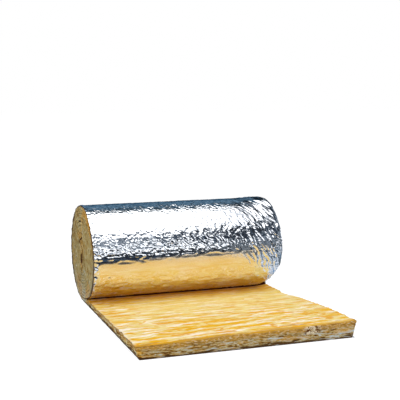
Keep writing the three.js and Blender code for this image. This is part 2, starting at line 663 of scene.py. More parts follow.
class NodeSketch:
    """A short way to write the nodes of a material or of the world."""

    def __init__(self, owner: bpy.types.Material | bpy.types.World) -> None:
        """Start with no nodes but the output.

        Args:
            owner: The material or world.
        """
        owner.use_nodes = True
        self.owner, self.tree = owner, owner.node_tree
        self.tree.nodes.clear()
        is_world = isinstance(owner, bpy.types.World)
        self.output = self.node("OutputWorld" if is_world else "OutputMaterial")

    def node(self, kind: str, settings: dict[str, object] | None = None,
             **inputs: object) -> bpy.types.Node:
        """Add a node.

        Args:
            kind: The node's type, without its "ShaderNode" start.
            settings: The node's own properties.
            **inputs: Numbers, colours or signals for its inputs: by name with _ for a space, or
                by number after an i.

        Returns:
            The node.
        """
        node = self.tree.nodes.new("ShaderNode" + kind)
        for key, value in (settings or {}).items():
            setattr(node, key, value)
        for key, value in inputs.items():
            socket = node.inputs[int(key[1:]) if key[1:].isdigit() else key.replace("_", " ")]
            if isinstance(value, Signal):
                self.tree.links.new(value.socket, socket)
            elif socket.type == "RGBA":
                socket.default_value = (*value, 1.0)
            else:
                socket.default_value = value
        return node

    def signal(self, kind: str, output: str | int = 0, **inputs: object) -> Signal:
        """Add a node and return one of its outputs."""
        return Signal(self, self.node(kind, **inputs).outputs[output])

    def math(self, operation: str, *values: Signal | float) -> Signal:
        """Add a Math node and return its result."""
        inputs = {f"i{index}": value for index, value in enumerate(values)}
        return self.signal("Math", settings={"operation": operation}, **inputs)

    def attribute(self, name: str) -> Signal:
        """Return a mesh attribute's value."""
        return self.signal("Attribute", "Fac", settings={"attribute_name": name})

    def place(self) -> Signal:
        """Return the place on the object, as a vector."""
        return self.signal("TexCoord", "Object")

    def axes(self, place: Signal) -> tuple[Signal, Signal, Signal]:
        """Return the three parts of a vector."""
        outputs = self.node("SeparateXYZ", Vector=place).outputs
        return tuple(Signal(self, output) for output in outputs)

    def noise(self, where: Signal, scale: float | Colour = 1.0, detail: float = 3.0,
              roughness: float = 0.55, distortion: float = 0.0) -> Signal:
        """Add noise.

        Args:
            where: The vector that the noise is read at.
            scale: How fine it is, as one number or one for each axis.
            detail: Its octaves.
            roughness: How strong each octave is beside the last.
            distortion: How much it swirls.

        Returns:
            The noise, from 0 to 1 about 0.5.
        """
        if isinstance(scale, tuple):
            where = self.signal("Mapping", Vector=where, Scale=scale)
            scale = 1.0
        return self.signal("TexNoise", "Fac", Vector=where, Scale=scale, Detail=detail,
                           Roughness=roughness, Distortion=distortion)

    def flow(self, u: Signal, v: Signal, offset: float, detail: float = 0.0,
             roughness: float = 0.5, distortion: float = 0.5) -> Signal:
        """Return noise over two values of the mat's own, such as its run and its depth."""
        where = self.signal("CombineXYZ", X=u, Y=v, Z=offset)
        return self.noise(where, 1.0, detail, roughness, distortion)

    def ramp(self, value: Signal, *stops: tuple[float, Colour]) -> Signal:
        """Look a value up in a colour ramp.

        Args:
            value: The signal that is looked up.
            *stops: Each stop's position, from 0 to 1, and its colour.

        Returns:
            The colour.
        """
        node = self.node("ValToRGB", Fac=value)
        elements = node.color_ramp.elements
        while len(elements) < len(stops):
            elements.new(0.5)
        for element, (position, colour) in zip(elements, stops):
            element.position = position
            element.color = (*colour, 1.0)
        return Signal(self, node.outputs["Color"])

    def mix(self, amount: Signal | float, first: Signal | Colour, second: Signal | Colour,
            blend: str = "MIX") -> Signal:
        """Return two colours mixed."""
        settings = {"data_type": "RGBA", "blend_type": blend}
        return self.signal("Mix", 2, settings=settings, i0=amount, i6=first, i7=second)

    def layers(self, base: Signal | Colour, *coats: tuple[Signal, Signal | Colour]) -> Signal:
        """Lay colours over a base, one after another.

        Args:
            base: The colour at the bottom.
            *coats: Each coat's amount, from 0 to 1, and its colour.

        Returns:
            The finished colour.
        """
        for amount, colour in coats:
            base = self.mix(amount, base, colour)
        return base

    def bump(self, height: Signal, strength: float, distance: float) -> Signal:
        """Return a normal roughened by a height."""
        return self.signal("Bump", "Normal", Height=height, Strength=strength, Distance=distance)

    def finish(self, shader: bpy.types.Node) -> bpy.types.Material | bpy.types.World:
        """Join a shader to the output and return the finished material or world."""
        self.tree.links.new(shader.outputs[0], self.output.inputs["Surface"])
        return self.owner

    def finish_wool(self, colour: Signal, height: Signal, relief: float,
                    gloss: float) -> bpy.types.Material:
        """Finish the material as matt fibre with a fine relief.

        Args:
            colour: The fibre's colour.
            height: Its fine relief.
            relief: How strong the relief is.
            gloss: How much the fibre shines.

        Returns:
            The material.
        """
        return self.finish(self.node(
            "BsdfPrincipled", Base_Color=colour, Roughness=0.95,
            Normal=self.bump(height, relief, 0.008),
            Sheen_Weight=0.04, Sheen_Roughness=0.6, Specular_IOR_Level=gloss))


@dataclass(frozen=True)
class WoolFace:
    """The mat's broad golden face: cream and orange fibre streaks, with painted highlight and shade
    on the folds' slopes.
    """

    nip_at: float
    gold: Colour = (0.76, 0.61, 0.23)
    cream: Colour = (0.88, 0.80, 0.72)
    orange: Colour = (0.73, 0.39, 0.003)
    ochre: Colour = (0.72, 0.33, 0.002)
    # Painted warm bounce light towards the nip, under the roll.
    warm: Colour = (0.86, 0.63, 0.14)
    deep: Colour = (0.98, 0.52, 0.045)
    # Painted shade in the crevice where the roll meets the tail.
    pressed: Colour = (0.09, 0.012, 0.003)
    rim: Colour = (0.50, 0.255, 0.018)
    shadow: Colour = (0.80, 0.70, 0.50)
    white: Colour = (1.0, 1.0, 1.0)

    def material(self) -> bpy.types.Material:
        """Build the material.

        Returns:
            The finished material.
        """
        sketch = NodeSketch(bpy.data.materials.new("wool_face"))
        place, along = sketch.place(), sketch.attribute("along")
        across, _, _ = sketch.axes(place)
        streak = sketch.noise(place, (5.6, 43.0, 20.0), 2.5, 0.5, 0.8)
        fibre = sketch.noise(place, (20.0, 170.0, 120.0), 4.0, 0.65, 0.5)

        # The streaks are strong where the wool is loose, and fade towards the nip.
        nip = self.nip_at
        loose = along.ease(nip - 0.25, 0.14).at_least(across.ease(-0.25, -0.54, 0.85))
        strength = 0.38 + loose * 0.62
        # Painted light: fold slopes facing the roll lean to cream highlight, those facing the cut
        # end to orange shade.
        streak_and_painted_fold_light = streak - sketch.attribute("swell") * 0.13
        ragged_across = across + streak * 0.03
        thread = abs(sketch.noise(place, (5.5, 17.0, 20.0), 1.5, 0.5, 0.5) - 0.5)
        parted = sketch.noise(place, (9.0, 14.0, 9.0), 1.0).ease(0.44, 0.54)
        thread = thread.ease(0.060, 0.025, 0.85) * parted
        colour = sketch.layers(
            self.gold,
            # Painted warm bounce light, deepening towards the nip.
            (along.ease(nip - 0.40, nip - 0.08, 0.9), self.warm),
            (along.ease(nip - 0.24, nip - 0.04, 0.95), self.deep),
            (streak_and_painted_fold_light.ease(0.52, 0.61, 0.92) * strength, self.cream),
            (streak_and_painted_fold_light.ease(0.48, 0.385) * strength, self.orange),
            # The +X edge turns orange, and a painted cream highlight runs along the -X edge's top.
            (ragged_across.ease(0.612, 0.628, 0.75), self.orange),
            (ragged_across.ease(-0.588, -0.600, 0.35) * strength, self.cream),
            (thread * strength, self.ochre))
        grain = sketch.ramp(fibre, (0.34, self.shadow), (0.50, self.white))
        colour = sketch.mix(0.8, colour, grain, "MULTIPLY")

        # The cut end has a ragged darker rim, and a narrow band of painted shade lies along the
        # nip.
        ragged = along + streak * -0.26 + fibre * -0.05
        colour = sketch.layers(colour, (ragged.ease(-0.122, -0.148, 0.95), self.rim),
                               (along.ease(nip - 0.021, nip - 0.017), self.pressed))
        return sketch.finish_wool(colour, streak + fibre * 0.5, 0.75, 0.1)


@dataclass(frozen=True)
class WoolCut:
    """The mat's cut edges: thin, greyer fibre layers that follow the mat's run."""

    nip_at: float
    turn_at: float
    centre: float
    dark: Colour = (0.150, 0.064, 0.011)
    brown: Colour = (0.380, 0.205, 0.042)
    olive: Colour = (0.470, 0.362, 0.140)
    beige: Colour = (0.615, 0.525, 0.335)
    grey: Colour = (0.53, 0.62, 0.67)
    orange: Colour = (0.71, 0.345, 0.032)
    rim: Colour = (0.62, 0.31, 0.022)
    edge_cast: Colour = (1.36, 1.28, 0.85)
    # Painted shade at the foot of the edges and round the outer turns.
    foot: Colour = (0.078, 0.031, 0.004)
    tuft: Colour = (0.86, 0.74, 0.56)
    # Painted shade inside the gaps between turns and in the eye's slit.
    gap: Colour = (0.12, 0.048, 0.010)
    slit: Colour = (0.075, 0.007, 0.001)
    cast: Colour = (1.19, 1.19, 1.04)
    layers: float = 6.5
    rise_towards_plus_x: float = 0.055
    torn_at: float = 0.345

    def material(self) -> bpy.types.Material:
        """Build the material.

        Returns:
            The finished material.
        """
        sketch = NodeSketch(bpy.data.materials.new("wool_cut"))
        place = sketch.place()
        x, y, z = sketch.axes(place)
        along, depth = sketch.attribute("along"), sketch.attribute("depth")
        run = along + x
        tail = along.ease(self.nip_at + 0.03, self.nip_at - 0.02)
        wound = 1.0 - tail
        edge = x.ease(-0.585, -0.597) * tail

        def fibres(stretch: float, count: float, offset: float, detail: float = 3.0) -> Signal:
            """Return noise drawn out along the mat, in a number of layers."""
            return sketch.flow(run * stretch, depth * count, offset, detail, 0.55, 0.8)

        # One tone, from dark to grey, carries the layers, their unevenness and a rise towards +X.
        layer, speck = fibres(12.0, self.layers, 0.0), fibres(46.0, self.layers * 1.9, 3.0)
        tone = 0.5 + (layer * 0.55 + speck * 0.45 - 0.5) * (0.42 + tail * 0.78)
        drift = (sketch.noise(place, (3.0, 9.0, 11.0), 3.0, 0.6, 1.0) - 0.5) * 0.16
        mottle = (sketch.noise(place, (20.0, 26.0, 34.0), 3.0, 0.6, 0.6) - 0.5) * 0.22
        fleck = (fibres(13.0, 2.2, 5.0, 1.0) - 0.48) * 0.9
        tone = tone + (drift + z.ease(0.24, 0.04, 0.068) + mottle) * wound
        tone = tone + fleck * edge + x * self.rise_towards_plus_x * tail
        colour = sketch.ramp(tone, (0.395, self.dark), (0.45, self.brown), (0.50, self.olive),
                             (0.56, self.beige), (0.63, self.grey))

        # Warmer patches, then the cast of each kind of edge.
        blush = sketch.noise(place, 7.0, 2.0, 0.5, 0.5).ease(0.50, 0.68, 0.45)
        upper = z.ease(0.30, 0.48) * y.ease(self.centre + 0.03, self.centre - 0.08)
        upper = upper * along.ease(self.turn_at + 1.8, self.turn_at + 1.0, 0.75)
        for amount in (fibres(7.0, 4.0, 7.0).ease(0.51, 0.60, 0.42) * tail, blush * wound,
                       upper * wound):
            colour = sketch.mix(amount, colour, self.orange)
        colour = sketch.mix(wound, colour, self.cast, "MULTIPLY")
        colour = sketch.mix(edge, colour, self.edge_cast, "MULTIPLY")

        # The tail's golden upper rim, its torn tuft, and painted shade at the foot of each edge,
        # round the outer turns and in the gaps between turns.
        uneven = depth + layer * 0.7
        speckled = sketch.ramp(speck, (0.40, self.brown), (0.52, self.rim), (0.66, self.beige))
        torn = abs(x - self.torn_at).ease(0.062, 0.030) * depth.ease(0.42, 0.55, 0.9)
        shreds = sketch.ramp(sketch.noise(place, 42.0, 2.0, 0.6, 1.0), (0.40, self.slit),
                             (0.47, self.brown), (0.52, self.beige), (0.60, self.tuft))
        # Painted shade: a dark outline round the outermost turns, towards the front and back of the
        # roll's ends.
        outer = along.ease(self.turn_at + 0.05, self.turn_at)
        second = along.ease(self.turn_at + 1.85, self.turn_at + 1.75, 0.40)
        shaded = outer.at_least(second * depth.ease(0.85, 0.25))
        shaded = abs(y - self.centre).ease(0.13, 0.24, 0.88) * shaded
        inside = sketch.attribute("swell")
        colour = sketch.layers(
            colour,
            (uneven.ease(0.96, 1.18, 0.95) * tail, speckled),
            (torn * along.ease(0.03, 0.01), shreds),
            ((uneven - edge * 0.15).ease(0.55, 0.43, 0.94) * outer, self.foot),
            (shaded * wound, self.foot),
            # Painted shade inside the gaps between turns, darkest in the eye's slit.
            (inside.ease(-0.02, -0.30), self.gap),
            (inside.ease(-0.42, -0.60), self.slit))
        return sketch.finish_wool(colour, layer + speck * 0.8, 0.9, 0.2)


@dataclass(frozen=True)
class BrightFoil:
    """Bright aluminium foil, finely crinkled, with a painted warm reflection where it is taut and
    painted shade above the nip.
    """

    nip_at: float
    top_at: float
    colour: Colour = (0.90, 0.915, 0.935)
    crease_shade: Colour = (0.035, 0.045, 0.060)
    taut_painted_reflection: Colour = (0.94, 0.86, 0.73)
    painted_nip_shade: Colour = (0.68, 0.59, 0.47)
    crease_depth: float = 0.0032
    loose_roughness: float = 0.09
    taut_roughness: float = 0.22
    drawn_smoothing: float = 0.15

    def material(self) -> bpy.types.Material:
        """Build the material.

        Returns:
            The finished material.
        """
        sketch = NodeSketch(bpy.data.materials.new("aluminium_foil"))
        place, along = sketch.place(), sketch.attribute("along")
        across, _, _ = sketch.axes(place)
        crumple = sketch.attribute("swell")

        def creases(u_pace: Span, v_pace: Span) -> Signal:
            """Return sharp creases, drawn out the way that two paces over (x, run) set."""
            u, v = (across * x + along * run for x, run in (u_pace, v_pace))
            return abs(sketch.flow(u, v, 0.0) - 0.5)

        crease = creases((50.0, -30.0), (9.0, 18.0)) + creases((17.0, 8.0), (-12.0, 54.0))
        smoothing = crumple.ease(0.05, 0.16, self.taut_roughness - self.loose_roughness)
        drawn = along.ease(self.nip_at - 0.36, self.nip_at - 0.22, self.drawn_smoothing)
        roughness = self.taut_roughness - smoothing - drawn

        # Painted warm shade above the nip, in a wavy band.
        wavy = along + sketch.noise(place, (9.0, 2.0, 2.0), 3.0, 0.6) * 0.06
        wavy = wavy + (across * -0.07).at_least(0.0)
        near_nip = (wavy.ease(self.nip_at - 0.185, self.nip_at - 0.130)
                    * along.ease(self.nip_at - 0.080, self.nip_at - 0.120))

        # Painted shade: dark strokes between the slanting folds of the +X end's top.
        past_top = along - self.top_at
        slant = across + past_top * (past_top * 0.45 - 0.90)
        fold = abs(sketch.flow(slant * 33.0, along * 5.0, 4.0, distortion=0.6) - 0.5)
        corner = across.ease(0.61, 0.53).at_least(past_top.ease(0.17, 0.09))
        corner = corner * across.ease(0.29, 0.41)
        corner = corner * past_top.ease(0.34, 0.20) * past_top.ease(-0.05, 0.04)
        # The taut sheet carries a painted warm reflection; the loose sheet is plain foil.
        colour = sketch.layers(self.taut_painted_reflection, (crumple.ease(0.05, 0.20), self.colour),
                               (near_nip, self.painted_nip_shade),
                               (fold.ease(0.108, 0.074, 0.97) * corner, self.crease_shade))
        return sketch.finish(sketch.node(
            "BsdfPrincipled", Base_Color=colour, Metallic=1.0,
            Roughness=roughness.at_least(self.loose_roughness),
            Normal=sketch.bump(crease * crumple, 1.0, self.crease_depth)))


# ------------------------------------------------------------------------------ the wool


class WoolSlot(IntEnum):
    """Which of the mat's two finishes a face has."""

    FACE = 0
    CUT = 1


@dataclass(frozen=True)
class Parting:
    """A gap between turns on one of the roll's ends, curved to follow them, sunk in and darkened
    with painted shade.
    """

    middle: Span
    length: float
    width: float
    lean: float
    depth: float
    bend_radius: float = 1.0
    shade: float = 0.5
    sides: tuple[int, ...] = (-1,)
    ragged: Grain = Grain(167, 0.018, 0.018, 0.25, 2)

    def at(self, y: Array, z: Array, side: Array) -> Array:
        """Find how deep inside the gap each place is.

        Args:
            y: Places along Y.
            z: Heights.
            side: Which end each place is on, -1 or 1.

        Returns:
            Numbers from 0 outside the gap to 1 inside it.
        """
        dy, dz = y - self.middle[0], z - self.middle[1]
        cos, sin = math.cos(math.radians(self.lean)), math.sin(math.radians(self.lean))
        run = dy * cos + dz * sin
        across = dz * cos - dy * sin + run**2 / (2.0 * self.bend_radius)
        reach = np.hypot(run / (0.5 * self.length), across / (0.5 * self.width))
        return smoothstep(reach + self.ragged.at(y, z), 1.25, 0.65) * np.isin(side, self.sides)


@dataclass
class WoolMat:
    """The glass-wool mat: a flat tail and every turn of the roll, as one closed mesh."""

    mat: Mat
    settling: Settling
    cell: float = 0.0062
    tail_layers: int = 16
    tail_lift: float = 0.004
    tail_lean: float = 0.011
    end_trim: float = 0.017
    arris_rounding: float = 0.29
    partings: tuple[Parting, ...] = (
        Parting((0.486, 0.256), 0.070, 0.050, 88.0, 0.016, shade=1.0, sides=(-1, 1)),
        Parting((0.526, 0.358), 0.125, 0.019, -32.0, 0.008, 0.60, shade=0.44),
        Parting((0.524, 0.481), 0.078, 0.011, -12.0, 0.008, 0.24, shade=0.30),
        Parting((0.560, 0.120), 0.090, 0.009, 30.0, 0.006, -0.15),
    )
    turn_spacing: float = 0.009
    turn_columns: tuple[float, ...] = (-1.0, -0.985, -0.90, 0.0, 0.90, 0.985, 1.0)
    turn_layers: tuple[float, ...] = (0.0, 0.14, 0.38, 0.62, 0.86, 1.0)
    fold_warp: Grain = Grain(3, 0.22, 0.12, 0.5)
    long_folds: Grain = Grain(11, 0.17, 0.042, 0.62)
    short_folds: Grain = Grain(13, 0.085, 0.019, 0.38)
    fold_height: float = 0.0055
    top_tufts: Grain = Grain(31, 0.028, 0.014, 0.0013, 3)
    top_swells: Grain = Grain(47, 0.45, 0.28, 0.0040)
    torn_edge: Grain = Grain(53, 0.055, 1 / 2, 0.0045, 3)
    layered_edge: Grain = Grain(59, 0.090, 1 / 9, 0.0028, 2)
    stepped_edge: Grain = Grain(61, 0.16, 1 / 0.8, 0.006)
    layered_cut: Grain = Grain(71, 0.20, 1 / 8, 0.0038, 3)
    fibrous_cut: Grain = Grain(73, 0.022, 1 / 14, 0.0016, 2)
    wandering_cut: Grain = Grain(79, 0.35, 1 / 1.2, 0.004)
    full_turns: Grain = Grain(197, 0.21, height=0.9)
    wandering_turns: Grain = Grain(83, 0.45, height=0.0035)
    layered_turns: Grain = Grain(89, 0.060, 1 / 4, 0.0022, 2)
    fibrous_turns: Grain = Grain(97, 0.016, 1 / 6, 0.0013)
    turn_bulge: float = 0.0022
    turn_set_back: float = 0.0012
    other_edge: float = 40.0
    other_end: float = 90.0
    draft: MeshDraft = field(default_factory=MeshDraft)

    def build(self) -> bpy.types.Object:
        """Build the mat.

        Returns:
            The finished piece.
        """
        self._build_turns(self._build_tail())
        piece = self.draft.to_object("wool_mat_surface", self.settling.apply)
        work = bmesh.new()
        work.from_mesh(piece.data)
        bmesh.ops.recalc_face_normals(work, faces=work.faces)
        work.to_mesh(piece.data)
        work.free()
        return piece

    def dress(self, piece: bpy.types.Object) -> None:
        """Give the piece its finishes and its place in the frame.

        Args:
            piece: The built mat.
        """
        nip_at, centre = self.mat.free_run, self.mat.centre
        turn_at = nip_at + FULL_TURN * self.mat.roll_radius
        for finish in (WoolFace(nip_at), WoolCut(nip_at, turn_at, centre)):
            piece.data.materials.append(finish.material())
        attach(piece, "root")
        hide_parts("wool_mat")

    # -- relief

    def _folds(self, x: Array, y: Array) -> Array:
        """Return how high the tail's long crosswise folds stand, from about -1 to 1."""
        warp = self.fold_warp.at(x, y)
        return self.long_folds.at(x, y, 0.0, warp) + self.short_folds.at(x, y, 0.0, 2 * warp)

    def _fold_slope(self, x: Array, y: Array) -> Array:
        """Return how steeply the folds rise towards the roll, from about -1 to 1."""
        step = 0.004
        return 2.2 * (self._folds(x, y + step) - self._folds(x, y - step))

    def _top_relief(self, x: Array, y: Array) -> Array:
        """Find how far the tail's top stands above its plain height.

        Args:
            x: Places across the mat.
            y: Places along the tail.

        Returns:
            The extra height.
        """
        loose = 0.45 + 0.55 * smoothstep(self.mat.tail_share(y), 0.15, 0.8)
        fine = self.fold_height * self._folds(x, y) + self.top_tufts.at(x, y)
        return fine * loose + self.top_swells.at(x, y)

    def _edge_relief(self, run: Array, through: Array, side: Array) -> Array:
        """Find how far a trimmed edge of the tail stands out past its plain line.

        Args:
            run: Places along the tail.
            through: Shares of its thickness, from the facing up.
            side: Which edge each place is on, -1 or 1.

        Returns:
            The distances past the line.
        """
        place = run, through, self.other_edge * side
        return (self.torn_edge.at(*place) * (0.4 + 0.6 * through) + self.layered_edge.at(*place)
                + self.stepped_edge.at(*place) * through)

    def _cut_relief(self, x: Array, through: Array) -> Array:
        """Return how far the cut end of the tail stands out past its plain line."""
        return sum(grain.at(x, through)
                   for grain in (self.layered_cut, self.fibrous_cut, self.wandering_cut))

    def _turn_edge_relief(self, along: Array, through: Array, side: Array) -> Array:
        """Find how far a turn's edge stands out past the roll's plain end.

        Args:
            along: Distances along the mat.
            through: Shares of its thickness, from the facing in.
            side: Which end each place is on, -1 or 1.

        Returns:
            The distances past the end.
        """
        offset = self.other_end * side
        full = np.clip(0.5 + self.full_turns.line(along, offset), 0.0, 1.0)
        pillow = self.turn_bulge * full * (1.0 - (2.0 * through - 1.0) ** 2)
        return (pillow - self.turn_set_back + self.wandering_turns.line(along, offset)
                + self.layered_turns.at(along, through, offset)
                + self.fibrous_turns.at(along, through, offset))

    # -- tail

    def _build_tail(self) -> list[Array]:
        """Build the tail: its top, cut end, trimmed edges and hidden underside.

        Returns:
            The open back of the tail at the nip, as rows of point indices: underside, +X edge,
            top and -X edge, one after the other round the mat.
        """
        mat = self.mat
        columns, rows = round(mat.width / self.cell), round(mat.free_run / self.cell)
        layers = self.tail_layers
        i, j, k = np.meshgrid(np.arange(columns + 1), np.arange(rows + 1),
                              np.arange(layers + 1), indexing="ij")
        on_skin = (k == layers) | (j == 0) | (i == 0) | (i == columns)
        i, j, k = i[on_skin], j[on_skin], k[on_skin]
        at_edge, at_cut, on_top = (i == 0) | (i == columns), j == 0, k == layers

        # Plain shape: flared edges and a top that swells towards the cut end.
        side, through = 2.0 * i / columns - 1.0, k / layers
        y = mat.cut_end + mat.free_run * j / rows
        share = mat.tail_share(y)
        x = side * (mat.half_width + mat.edge_flare * through * smoothstep(share))
        raised = self.tail_lift + self.tail_lean * side
        height = mat.tail_top(y) + raised * smoothstep(share, 0.1, 1.0)
        z = mat.underside + (height - mat.underside) * through

        # Relief of the top, the trimmed edges and the cut end, and the soft upper arris.
        z = z + self._top_relief(x, y) * through**2 * smoothstep(mat.nip_y - y, 0.0, 0.06)
        out = np.where(at_edge, self._edge_relief(y, through, np.sign(side)), 0.0)
        x = x + np.sign(side) * out * (0.35 + 0.65 * smoothstep(share))
        x = x - self.end_trim * np.clip(side, 0.0, 1.0) * smoothstep(share, 0.5, 1.0)
        round_off = self.arris_rounding * mat.arris
        arris_share = np.clip((z - (height - mat.arris)) / mat.arris, 0.0, 1.0)
        y = y - np.where(at_cut, self._cut_relief(x, through) - round_off * arris_share**2, 0.0)
        near_cut = np.clip(1.0 - (y - mat.cut_end) / mat.arris, 0.0, 1.0)
        z = z - np.where(on_top, round_off * near_cut**2, 0.0)

        ids = np.full((columns + 1, rows + 1, layers + 1), -1)
        # The top's fold slope is kept for the finish, which paints highlight and shade from it.
        ids[on_skin] = self.draft.add_points(
            np.stack([x, y, z], axis=-1), y - mat.cut_end, through,
            np.where(on_top, self._fold_slope(x, y), 0.0))
        self.draft.add_grid(ids[:, :, layers], WoolSlot.FACE)
        for skin in (ids[:, 0, :], ids[0, :, :], ids[columns, :, :]):
            self.draft.add_grid(skin, WoolSlot.CUT)

        inner = np.array(self.turn_columns[1:-1]) * mat.half_width
        place = [inner, np.full(len(inner), mat.nip_y), np.full(len(inner), mat.underside)]
        back = self.draft.add_points(np.stack(place, -1), mat.free_run, 0.0)
        outline = np.concatenate([ids[::-1, 0, 0], ids[0, 1:, 0], back, ids[columns, :0:-1, 0]])
        self.draft.add_face(outline, WoolSlot.CUT)
        underside_back = np.concatenate([[ids[0, rows, 0]], back, [ids[columns, rows, 0]]])
        return [underside_back, ids[columns, rows, :], ids[::-1, rows, layers],
                ids[0, rows, ::-1]]

    # -- turns

    def _stations(self) -> tuple[Array, Array, Array]:
        """Space the turns' stations along the winding.

        Returns:
            Each station's outer (y, z), inner (y, z) and distance along the mat.
        """
        mat = self.mat
        pressed = mat.angles(mat.nip, FULL_TURN, self.turn_spacing)[1:]
        reach = np.linspace(0.0, 1.0, len(pressed) + 1)[1:]
        start_y = mat.offset(np.array(0.0), mat.underside)[0]
        outer_y = mat.nip_y + (start_y - mat.nip_y) * reach
        under_roll = np.stack([outer_y, np.full_like(outer_y, mat.underside)], axis=-1)

        wound = mat.angles(0.0, mat.last_angle, self.turn_spacing)[1:]
        outer = np.concatenate([under_roll, mat.offset(wound, mat.underside)])
        inner = np.concatenate([mat.offset(pressed, -mat.bond),
                                mat.offset(wound + FULL_TURN, -mat.bond)])
        steps = np.linalg.norm(np.diff(0.5 * (outer + inner), axis=0), axis=1)
        along = mat.free_run + np.concatenate([[self.turn_spacing], np.cumsum(steps)])
        return outer, inner, along

    def _build_turns(self, ring: list[Array]) -> None:
        """Build the wound part onto the tail.

        Args:
            ring: The tail's open back, as _build_tail returns it.
        """
        outer, inner, along = self._stations()
        last_column, last_layer = len(self.turn_columns) - 1, len(self.turn_layers) - 1
        path = [(c, 0) for c in range(last_column)]
        path += [(last_column, k) for k in range(last_layer)]
        path += [(c, last_layer) for c in range(last_column, 0, -1)]
        path += [(0, k) for k in range(last_layer, 0, -1)]
        column, layer = np.array(path).T

        shape = (len(along), len(path))
        through = np.broadcast_to(np.array(self.turn_layers)[layer], shape)
        x = np.broadcast_to(np.array(self.turn_columns)[column] * self.mat.half_width, shape)
        run = np.broadcast_to(along[:, None], shape)
        share = through[..., None]
        place = outer[:, None, :] * (1 - share) + inner[:, None, :] * share
        side = np.sign(x)
        at_edge = np.broadcast_to((column == 0) | (column == last_column), shape)
        parting, sunk = np.zeros(shape), np.zeros(shape)
        for gap in self.partings:
            inside = gap.at(place[..., 0], place[..., 1], side)
            parting = np.maximum(parting, gap.shade * inside)
            sunk = np.maximum(sunk, gap.depth * inside)
        out = self._turn_edge_relief(run, through, side) - sunk
        x = np.where(at_edge, x + side * out, x)
        points = np.concatenate([x[..., None], place], axis=-1).reshape(-1, 3)
        swell = np.where(at_edge, -parting, 0.0)
        ids = self.draft.add_points(points, run.ravel(), through.ravel(), swell.ravel())
        ids = ids.reshape(shape)
        closed = np.concatenate([ids, ids[:, :1]], axis=1)
        ends = np.cumsum([0, last_column, last_layer, last_column, last_layer])
        kinds = (WoolSlot.FACE, WoolSlot.CUT, WoolSlot.FACE, WoolSlot.CUT)
        for row, start, stop, slot in zip(ring, ends[:-1], ends[1:], kinds):
            self.draft.zip_rows(row, closed[0, start:stop + 1], slot)
            self.draft.add_grid(closed[:, start:stop + 1], slot)
        self.draft.add_face(ids[-1], WoolSlot.CUT)


# ------------------------------------------------------------------------------ the facing


